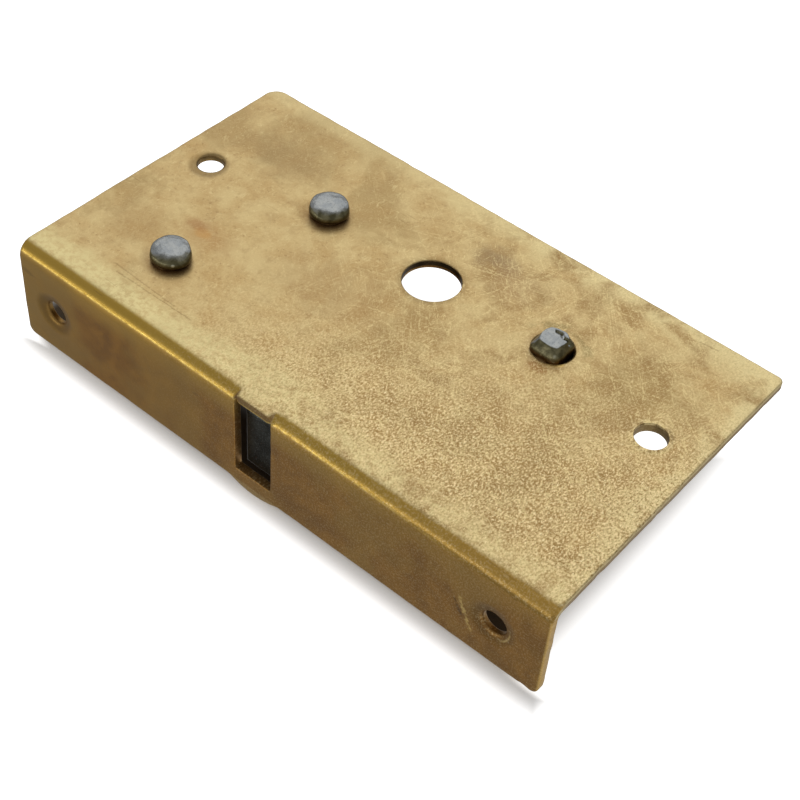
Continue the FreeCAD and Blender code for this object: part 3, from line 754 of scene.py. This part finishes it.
def plate_outline():
    """The sheet's outer edge, uneven and nicked, with the bulge of the web under the slot."""
    points = rounded_box(-SIDE, SIDE, S_REAR, S_FRONT, CORNER_RADII, 0.7)
    front = points[:, 1] > S_FRONT - 0.01
    reach = np.abs(points[:, 0] - SLOT_X)
    radius = (BULGE_HALF_WIDTH ** 2 + BULGE_DROP ** 2) / (2 * BULGE_DROP)
    drop = np.sqrt(np.maximum(radius ** 2 - reach ** 2, 0)) - (radius - BULGE_DROP)
    points[:, 1] += np.where(front, np.maximum(drop, 0), 0)
    normals = outline_normals(points)
    inset = ragged(points, 0.08, 3)
    # Each nick's x and s, depth and reach
    nicks = [
        (SIDE, on_face(-14), 0.08, 0.9), (SIDE, on_face(-27.5), 0.06, 1), (SIDE, on_face(4), 0.06, 0.8),
        (SIDE - 2.4, S_FRONT, 0.25, 0.8), (-SIDE + 31, S_REAR, 0.12, 1.4),
    ]
    for x, s, depth, reach in nicks:
        distance = np.hypot(points[:, 0] - x, points[:, 1] - s)
        inset = inset + depth * (1 - ease(distance, 0, reach))
    return points - normals * inset[:, None], normals


def ring(centre, radius, spacing, turn=0):
    """Points round a circle, clockwise."""
    count = math.ceil(2 * math.pi * radius / spacing)
    angles = turn - np.arange(count) * 2 * math.pi / count
    return np.stack([centre[0] + radius * np.cos(angles), centre[1] + radius * np.sin(angles)], axis=1)


def circle(centre, radius):
    """A hole's outline, whose normals point to its axis."""
    points = ring(centre, radius, 0.35)
    return points, outline_normals(points)


def slot_outline():
    """The bolt's slot, clockwise, with ragged edges."""
    left, right = SLOT_X - SLOT_HALF, SLOT_X + SLOT_HALF
    points = rounded_box(left, right, LIP_LENGTH, on_flange(SLOT_BOTTOM), SLOT_RADII, 0.5)
    points = points[::-1].copy()
    normals = outline_normals(points)
    return points - normals * ragged(points, 0.06, 9)[:, None], normals


def hole_rows(profile, radius):
    """Rows of (inset, depth) from a hole's (radius, depth) profile."""
    return [(reach - radius, depth) for reach, depth in profile]


def sheet_loops():
    """Every outline of the sheet, with its normals and edge rows."""
    left, right = screw_places("plate_screws")
    # The left hole's dished rim shifts and narrows it
    dished = flat((left - 0.1, PLATE_SCREWS_Y + 0.6))
    loops = [
        (*plate_outline(), round_over(0.28)),
        (*slot_outline(), round_over(0.16)),
        (*circle(flat(KEY_HOLE), KEY_RADIUS - 0.12), round_over(0.16)),
        (*circle(dished, PLATE_SCREW_RADIUS - 0.35), round_over(0.45)),
        (*circle(flat((right, PLATE_SCREWS_Y)), PLATE_SCREW_RADIUS), round_over(0.14)),
    ]
    sunk = [(3.85, 0), (3.6, 0.05), (3.1, 0.14), (2.6, 0.25), (2.26, 0.38), (2.08, 0.54)]
    sunk += [(FLANGE_SCREW_RADIUS, 0.75), (FLANGE_SCREW_RADIUS, 1.45), (2.12, SHEET)]
    for x in screw_places("flange_screws"):
        outline = circle((x, on_flange(FLANGE_SCREWS_Z)), FLANGE_SCREW_RADIUS)
        loops.append((*outline, hole_rows(sunk, FLANGE_SCREW_RADIUS)))
    loops.append((*circle(flat(ROUND_POST), POST_SHANK), round_over(0.1)))
    loops.append((*circle(flat(PIVOT), PIVOT_SHANK), round_over(0.1)))
    throat = 3.16
    mouth = [(3.52, 0), (3.42, 0.03), (3.32, 0.1), (3.22, 0.22), (throat, 0.4), (throat, SHEET)]
    outline = circle(flat((SQUARE_POST[0] + 0.02, SQUARE_POST[1] + 0.38)), throat)
    loops.append((*outline, hole_rows(mouth, throat)))
    return loops


def inside(points, polygon):
    """Which points lie inside a closed polygon."""
    result = np.zeros(len(points), bool)
    x, y = points[:, 0], points[:, 1]
    for (x0, y0), (x1, y1) in zip(polygon, np.roll(polygon, -1, axis=0)):
        if y0 == y1:
            continue
        crosses = (y0 > y) != (y1 > y)
        result ^= crosses & (x < (x1 - x0) * (y - y0) / (y1 - y0) + x0)
    return result


def in_sheet(points, outlines):
    """Which points lie inside the first outline and outside the others."""
    keep = inside(points, outlines[0])
    for hole in outlines[1:]:
        keep &= ~inside(points, hole)
    return keep


def surface(outlines, spacing, bend_spacing):
    """Points and triangles of one face of the sheet, whose first points are those of the outlines."""
    rows = np.concatenate([
        np.arange(S_REAR, -0.3, spacing),
        np.arange(0, ARC + 0.01, bend_spacing),
        np.arange(ARC + spacing, S_FRONT + BULGE_DROP, spacing),
    ])
    columns = np.arange(-SIDE, SIDE, spacing)
    grid = np.array([(x + spacing * 0.5 * (i % 2), s) for i, s in enumerate(rows) for x in columns])
    loops = np.concatenate(outlines)
    halos = [circle_halo(outline, reach) for outline in outlines[2:] for reach in (0.25, 0.55, 0.9, 1.4)]
    grid = np.concatenate([grid] + halos)
    grid = grid[in_sheet(grid, outlines)]
    # Points very close to an outline would make slivers
    near = np.full(len(grid), 1e9)
    for start in range(0, len(loops), 200):
        gap = grid[:, None, :] - loops[None, start:start + 200, :]
        near = np.minimum(near, (gap ** 2).sum(axis=2).min(axis=1))
    grid = grid[near > 0.16 ** 2]
    points = np.concatenate([loops, grid])
    # The outlines' edges are kept, and each corner is traced back to its point
    edges = []
    first = 0
    for outline in outlines:
        count = len(outline)
        edges += [(first + i, first + (i + 1) % count) for i in range(count)]
        first += count
    made = geometry.delaunay_2d_cdt([Vector(p) for p in points], edges, [], 0, 1e-5)
    corners, triangles, origins = np.array(made[0]), np.array(made[2]), made[3]
    back = [min(sources) if sources else None for sources in origins]
    keep = in_sheet(corners[triangles].mean(axis=1), outlines)
    return points, [tuple(back[i] for i in triangle) for triangle in triangles[keep]]


def circle_halo(outline, reach):
    """A ring of points around a hole, for a smooth rim."""
    centre = outline.mean(axis=0)
    radius = np.linalg.norm(outline - centre, axis=1).mean() + reach
    return ring(centre, radius, 0.45, reach)


def outer_relief(x, s):
    """How far the outer surface stands out of, or under, the flat sheet."""
    slow = np.array([noise_at(a * 0.045, b * 0.07, 1.7) for a, b in zip(x, s)])
    quick = np.array([noise_at(a * 0.22, b * 0.22, 5.2) for a, b in zip(x, s)])
    height = 0.06 * slow + 0.018 * quick
    # The flange's face stays behind its nominal plane
    height = height - 0.1 * ease(s, 0.4, ARC)
    left, right = screw_places("plate_screws")
    # Each rim's centre and radius, how far it rises and how wide that reaches
    rims = [
        ((right, PLATE_SCREWS_Y), PLATE_SCREW_RADIUS, 0.16, 0.9),
        ((left, PLATE_SCREWS_Y), PLATE_SCREW_RADIUS, -0.16, 1.4),
        (KEY_HOLE, KEY_RADIUS, -0.05, 0.8),
        (ROUND_POST, HEAD_RADIUS, -0.06, 1.6),
        (PIVOT, HEAD_RADIUS, -0.06, 1.6),
        (SQUARE_POST, 4.2, 0.06, 1.2),
    ]
    for centre, radius, rise, width in rims:
        distance = np.hypot(x - centre[0], s - on_face(centre[1])) - radius
        height = height + rise * (1 - ease(distance, 0, width))
    return height


def lock_plate():
    """The bent sheet: its two faces, joined by the edge rows of every outline."""
    loops = sheet_loops()
    row_points = [[points - normals * inset for inset, _ in rows] for points, normals, rows in loops]
    outer_points, outer_faces = surface([rows[0] for rows in row_points], 0.75, 0.2)
    inner_points, inner_faces = surface([rows[-1] for rows in row_points], 1.6, 0.34)
    placed = [outer_points, inner_points]
    depths = [np.zeros(len(outer_points)), np.full(len(inner_points), SHEET)]
    faces = list(outer_faces)
    faces += [tuple(len(outer_points) + i for i in face) for face in inner_faces]
    total = len(outer_points) + len(inner_points)
    first = 0
    for (points, _, rows), edge in zip(loops, row_points):
        count = len(points)
        starts = [first]
        for (_, depth), row in list(zip(rows, edge))[1:-1]:
            placed.append(row)
            depths.append(np.full(count, depth))
            starts.append(total)
            total += count
        starts.append(len(outer_points) + first)
        for upper, lower in zip(starts, starts[1:]):
            for i in range(count):
                j = (i + 1) % count
                faces.append((upper + i, upper + j, lower + j, lower + i))
        first += count
    depth = np.concatenate(depths)
    x, s = np.concatenate(placed).T
    share = np.clip(1 - depth / SHEET, 0, 1)
    vertices = fold(x, s, depth - outer_relief(x, s) * share)
    make_piece("lock_plate_sheet", vertices, faces, "plate_brass", "lock_plate")


def revolved(rows, shape, segments=96):
    """A closed polar mesh. rows are (reach, z) from the top's middle to the end's; shape places a point."""
    vertices = [shape(0, 0, rows[0][1], 0)]
    faces = []
    for index, (reach, z) in enumerate(rows[1:-1], start=1):
        angles = np.arange(segments) * 2 * math.pi / segments
        vertices += [shape(a, reach, z, index) for a in angles]
    last = len(vertices)
    vertices.append(shape(0, 0, rows[-1][1], len(rows) - 1))
    for i in range(segments):
        j = (i + 1) % segments
        faces.append((0, 1 + i, 1 + j))
        for row in range(len(rows) - 3):
            upper, lower = 1 + row * segments, 1 + (row + 1) * segments
            faces.append((upper + i, lower + i, lower + j, upper + j))
        bottom = 1 + (len(rows) - 3) * segments
        faces.append((last, bottom + j, bottom + i))
    return vertices, faces


def headed_post(node, centre, radius, shank, end_rows, seed, off):
    """A round post: its hammered head over the plate, and its shank down to the works.

    The head is off centre by off, and falls away most to the front right.
    """
    top = HEAD_TOP - 0.03
    dome = (0, 0.15, 0.3, 0.45, 0.56, 0.66, 0.74, 0.82, 0.89, 0.95)
    rows = [(radius * share, top - 1.15 * share ** 3.4) for share in dome]
    rows += [(radius - 0.04, top - 1.25), (radius, top - 1.5), (radius, 0.5), (radius - 0.1, 0.3)]
    rows += [(radius - 0.3, 0.08), (radius - 0.6, -0.03), (shank, -0.05), (shank, -0.4)]
    rows += end_rows

    def shape(angle, reach, z, index):
        if z <= -0.02:
            return (centre[0] + reach * math.cos(angle), centre[1] + reach * math.sin(angle), z)
        lumps = noise_round(angle, 0.9, seed + z * 0.25)
        flats = noise_round(angle, 2.3, seed + 4 + z * 0.4)
        wide = reach * (1 + 0.055 * lumps + 0.03 * flats - 0.035)
        x, y = wide * math.cos(angle), wide * math.sin(angle)
        dents = noise_at(x * 0.55, y * 0.55, seed + 9) + 0.5 * noise_at(x * 1.3, y * 1.3, seed)
        share = ease(z, 0.6, HEAD_TOP - 0.4)
        rearward = 0.5 + 0.5 * math.cos(angle - math.radians(126))
        if z > top - 1.2:
            z = top - (top - z) * (1 - 0.6 * rearward)
        z = min(z + 0.15 * share * (dents - 0.2), HEAD_TOP)
        return (centre[0] + off[0] + x, centre[1] + off[1] + y, z)

    vertices, faces = revolved(rows, shape)
    make_piece(node + "_head", vertices, faces, "post_steel", node)


def square_reach(angle, power):
    """Reach of a rounded square of half side 1."""
    cos, sin = abs(math.cos(angle)), abs(math.sin(angle))
    return 1 / (cos ** power + sin ** power) ** (1 / power)


def square_post():
    """The filed square bar, hammered over and chipped at its outer end, on its round seat."""
    low, high = box_mm("square_post")
    seat = (high[0] - low[0]) / 2
    end = low[2]
    hole_end = end + SCREW_HOLE_DEPTH
    half, top_half = 2.66, 1.98
    # (half side, z, squareness): squareness 0 is round
    rows = [(0, HEAD_TOP - 0.03, 1)]
    rows += [(top_half * share, HEAD_TOP - 0.03 - 0.05 * share, 1) for share in np.linspace(0.12, 0.96, 8)]
    rows += [(top_half, HEAD_TOP - 0.12, 1), (top_half + 0.1, HEAD_TOP - 0.28, 1), (2.32, 1.45, 1)]
    rows += [(half - 0.1, 1.05, 1), (half - 0.02, 0.75, 1), (half, 0.1, 1), (half, -0.2, 1)]
    rows += [(half + 0.1, -0.25, 0.6), (seat - 0.1, -0.25, 0), (seat, -0.3, 0), (seat, -1.6, 0)]
    rows += [(2.6, -1.6, 0.8), (2.5, -1.62, 1), (2.5, end + 0.2, 1), (2.3, end, 1)]
    rows += [(SCREW_HOLE_RADIUS, end, 0), (SCREW_HOLE_RADIUS, hole_end, 0), (0, hole_end, 0)]
    squareness = [row[2] for row in rows]

    def shape(angle, reach, z, index):
        square = square_reach(angle, 5 if z > -1 else 9) if squareness[index] else 1
        reach = reach * (1 + (square - 1) * squareness[index])
        share = ease(z, -0.3, 1.2)
        lumps = noise_round(angle, 1.1, 21 + z * 0.5)
        flats = noise_round(angle, 3, 33 + z * 0.6)
        reach = reach * (1 + share * (0.04 * lumps + 0.04 * flats - 0.01))
        # Corners knocked off at the top, most at the left and the rear
        crown = ease(z, 1, HEAD_TOP - 0.1)
        for corner, amount in ((135, 0.12), (45, 0.08), (225, 0.1), (-45, 0.03)):
            turn = (angle - math.radians(corner) + math.pi) % (2 * math.pi) - math.pi
            reach = reach * (1 - crown * amount * (1 - ease(abs(turn), 0, 0.6)))
        x, y = reach * math.cos(angle), reach * math.sin(angle)
        drop = 0.1 * share * (noise_at(x * 0.7, y * 0.7, 40) - 0.3)
        # A crack that splits a flake off along the rear edge
        crack = 1 - ease(abs(y - 1.25 + 0.25 * x - 0.12 * math.sin(4 * x)), 0.08, 0.3)
        drop -= 0.75 * crack * ease(x, -0.9, -0.2) * ease(z, 1.5, HEAD_TOP - 0.2)
        if z > 0.3:
            z = min(z + drop, HEAD_TOP)
        elif z > -1.5:
            z -= ease(math.cos(angle), 0.45, 0.85)
        # It leans a little to the rear
        lean = max(z, 0) / HEAD_TOP
        return (SQUARE_POST[0] - 0.12 + x, SQUARE_POST[1] + 0.1 + y + 0.3 * lean, z)

    vertices, faces = revolved([row[:2] for row in rows], shape, 128)
    make_piece("square_post_filed", vertices, faces, "post_steel", "square_post")


def eased(node, slot, body, width):
    """A CAD node with its edges broken, in its own finish."""
    mesh = frame["nodes"][node].data.copy()
    work = bmesh.new()
    work.from_mesh(mesh)
    bmesh.ops.remove_doubles(work, verts=work.verts, dist=2e-6)
    bmesh.ops.dissolve_limit(work, angle_limit=math.radians(1), verts=work.verts, edges=work.edges)
    paired = [edge for edge in work.edges if len(edge.link_faces) == 2]
    sharp = [edge for edge in paired if edge.calc_face_angle(0) > math.radians(28)]
    bmesh.ops.bevel(
        work, geom=sharp, offset=width * MM, segments=2, profile=0.6, affect="EDGES", clamp_overlap=True)
    bmesh.ops.recalc_face_normals(work, faces=work.faces)
    work.to_mesh(mesh)
    work.free()
    mesh.set_sharp_from_angle(angle=math.radians(35))
    put_in(node + "_eased", mesh, body, slot, node)


lock_plate()
round_post_end = [
    (POST_SHANK, POST_END + 0.2), (POST_SHANK - 0.15, POST_END), (SCREW_HOLE_RADIUS, POST_END),
    (SCREW_HOLE_RADIUS, POST_END + SCREW_HOLE_DEPTH), (0, POST_END + SCREW_HOLE_DEPTH),
]
headed_post("round_post", ROUND_POST, 3.3, POST_SHANK, round_post_end, 2, (-0.2, 0.35))
riveted_end = [(PIVOT_SHANK, PIVOT_END + 0.6), (2.9, PIVOT_END + 0.1), (2.75, PIVOT_END), (0, PIVOT_END)]
headed_post("lever_pivot", PIVOT, 3.38, PIVOT_SHANK, riveted_end, 7.3, (0, 0.4))
square_post()

# Each inner piece's node, material slot and body, and the width of its broken edges
WORKS = [
    ("cap_plate", "cap_brass", BODY, 0.14),
    ("cap_screws", "screw_steel", BODY, 0.14),
    ("pivot_collar", "spacer_steel", BODY, 0.12),
    ("lever_washers", "spacer_steel", BODY, 0.06),
    ("lever_retainer", "spacer_steel", BODY, 0.12),
    ("round_post_spacer", "spacer_steel", BODY, 0.12),
    ("square_post_spacer", "spacer_steel", BODY, 0.12),
    ("bolt_plate", "bolt_steel", "bolt", 0.14),
    ("bolt_head", "bolt_steel", "bolt", 0.05),
    ("bolt_rivets", "rivet_steel", "bolt", 0.05),
    ("bolt_stump", "bolt_steel", "bolt", 0.15),
]
for number in (1, 2, 3):
    WORKS.append((f"lever_{number}", "lever_brass", f"lever_{number}", 0.12))
    WORKS.append((f"lever_spring_{number}", "spring_steel", f"lever_{number}", 0.06))
for row in WORKS:
    eased(*row)


# ---------------- studio

def floor_glow_and_painted_shadow(g):
    """Where the floor glows in full, and where a shadow is painted dark on it: both from 0 to 1."""
    front, right, left = FLANGE_FACE, SIDE, -SIDE
    in_front = g.fade(g.less(front, g.y), -0.4, 3.8)
    past_end = g.fade(g.x, right - 0.5, right + 2.2)
    past_edge = g.times(g.fade(g.x, right - 7, right - 1.6), g.fade(g.y, front, front + 1.5))
    past_left = g.fade(g.x, left - 3.5, left - 9)
    # The flange's left end: slantwise behind it, closer in front of it
    ahead = g.times(g.fade(g.y, front, front - 1), 3)
    from_end = g.times(g.greater(g.less(g.y, front), 0), 1.4)
    from_end = g.plus(from_end, g.plus(ahead, g.plus(g.x, 1 - left)))
    past_corner = g.times(g.fade(from_end, 6.5, 1), g.fade(g.x, 0, -1))
    behind = g.times(g.fade(g.y, REAR_EDGE - 15, REAR_EDGE - 8), g.fade(g.x, right - 6, right - 10))
    full = g.greater(behind, g.fade(g.y, REAR_EDGE - 5, REAR_EDGE + 1))
    for part in (in_front, past_end, past_edge, past_left, past_corner):
        full = g.greater(full, part)
    # The painted shadow is darkest just behind the flange, where its openings look down at the floor
    dark = g.times(g.fade(g.y, front + 0.4, front + 2.2), g.fade(g.y, front + 25, front + 10))
    dark = g.times(dark, g.fade(g.x, left - 7, left - 1.5), g.fade(g.x, right - 6, right - 10))
    return full, g.times(dark, g.fade(from_end, 1.5, 6))


def studio_floor():
    """A pale floor that glows a little as painted light, less under the plate and close round the flange as
    painted shade, with a shadow painted dark just behind the flange.
    """
    reach, z = 3, cad_low[2]
    corners = [(-reach, -reach, z), (reach, -reach, z), (reach, reach, z), (-reach, reach, z)]
    mesh = bpy.data.meshes.new("studio_floor")
    mesh.from_pydata(corners, [], [(0, 1, 2, 3)])
    g = Graph("studio_floor_glow_and_painted_shadow")
    full, dark = floor_glow_and_painted_shadow(g)
    lit = g.less(1, dark)
    shade = g.blend(g.fade(g.y, FLANGE_FACE + 1, FLANGE_FACE + 5), 0.2, 0.25)
    # Painted light and shadow: the floor's emission stands in for light, and its brown base colour stands
    # in for shadow
    g.feed(g.shader, {
        "Base Color": g.mix(lit, (0.06, 0.042, 0.024, 1), (0.8, 0.8, 0.8, 1)),
        "Emission Strength": g.times(g.blend(full, shade, 0.95), lit),
        "Emission Color": (1, 1, 1, 1),
        "Roughness": 1,
    })
    mesh.materials.append(g.material)
    floor = show("studio_floor", mesh)
    floor.visible_glossy = False


def softbox(name, direction, distance, size, radiance):
    """A plain area light that looks at the object, of a given brightness."""
    light = bpy.data.lights.new(name, "AREA")
    light.shape = "RECTANGLE"
    light.size, light.size_y = size
    light.energy = radiance * math.pi * size[0] * size[1]
    lamp = show(name, light)
    away = Vector(direction).normalized()
    lamp.location = away * distance
    lamp.rotation_euler = away.to_track_quat("Z", "Y").to_euler()
    lamp.visible_camera = False


def studio_world():
    """Soft light from above, less from below and more of it from the right; white to the camera."""
    world = bpy.data.worlds.new("studio")
    bpy.context.scene.world = world
    world.use_nodes = True
    n = Nodes(world.node_tree)
    direction = n.add("TexCoord").outputs["Generated"]
    split = n.add("SeparateXYZ", {0: direction})
    right = {"Value": split.outputs[0], "From Min": 0.05, "From Max": 0.45, "To Min": 0.3, "To Max": 0.62}
    below = n.add("MapRange", right).outputs[0]
    up = {"Value": split.outputs[2], "From Min": -0.15, "From Max": 0.15, "To Min": below, "To Max": 0.48}
    lit = n.add("MapRange", up).outputs[0]
    seen = n.add("LightPath").outputs["Is Camera Ray"]
    strength = n.add("Mix", {0: seen, 2: lit, 3: 1}).outputs[0]
    n.feed(n.tree.nodes["Background"], {"Color": (1, 1, 1, 1), "Strength": strength})


def studio_camera():
    """A camera at the photo's angle: front right and above, rolled a little."""
    azimuth, elevation, roll = math.radians(36.53), math.radians(46.33), math.radians(5.105)
    distance, aside, below = 0.23422, 0.001028, 0.013358
    level = Vector((math.cos(azimuth), math.sin(azimuth), 0))
    outward = Vector((math.sin(azimuth), -math.cos(azimuth), 0))
    back = outward * math.cos(elevation) + Vector((0, 0, math.sin(elevation)))
    across = math.cos(roll) * level + math.sin(roll) * back.cross(level)
    along = back.cross(across)
    camera = bpy.data.cameras.new("studio_camera")
    camera.sensor_width = 36
    camera.lens = 71
    camera.clip_start = 0.01
    holder = show("studio_camera", camera)
    centre = Vector(((cad_low[0] + cad_high[0]) / 2, (cad_low[1] + cad_high[1]) / 2, 0))
    place = centre + back * distance + across * aside - along * below
    turn = Matrix((across, along, back)).transposed()
    holder.matrix_world = Matrix.Translation(place) @ turn.to_4x4()
    bpy.context.scene.camera = holder


studio_floor()
softbox("key_softbox", (-0.38, 0.53, 0.76), 0.6, (0.75, 0.75), 0.72)
softbox("front_strip", (-0.41, -0.91, 0.09), 0.8, (0.9, 0.11), 2.7)
studio_world()
studio_camera()
bpy.context.scene.view_settings.view_transform = "Standard"
